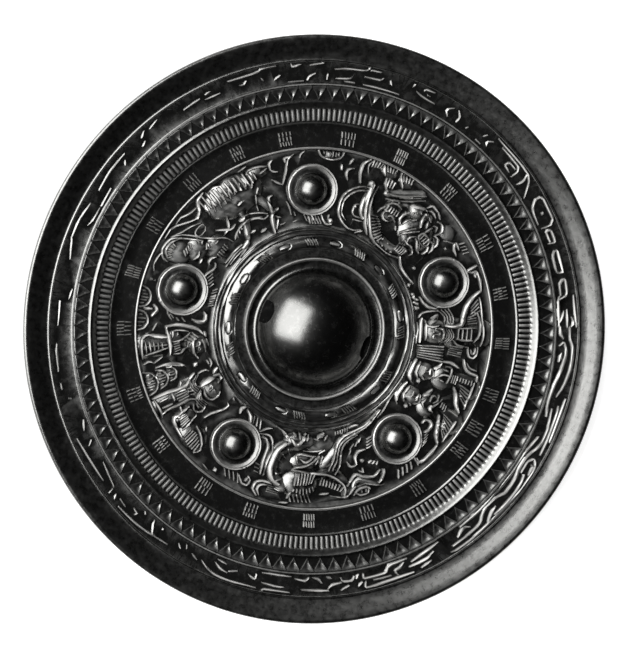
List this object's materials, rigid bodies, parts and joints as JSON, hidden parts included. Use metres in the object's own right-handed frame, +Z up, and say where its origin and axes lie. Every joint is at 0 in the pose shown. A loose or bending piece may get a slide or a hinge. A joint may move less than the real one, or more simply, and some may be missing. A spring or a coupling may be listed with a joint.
{
  "type": "ancient bronze mirror",
  "caption": "Round cast bronze mirror with a pierced central knob, nipples, deities and beasts in relief, toothed bands and a slanted rim, lying on its convex polished face.",
  "frame": {"origin": "centre of the small flat on the convex polished face, which is the lowest face", "axes": "+Z up out of the decorated back; +X along the cord hole through the knob"},
  "size_m": [0.208, 0.208, 0.0171],
  "materials": {
    "bronze": "glossy near-black patina, worn to dark grey on the relief"
  },
  "bodies": {
    "root": {"mirror": "bronze"}
  },
  "joints": []
}
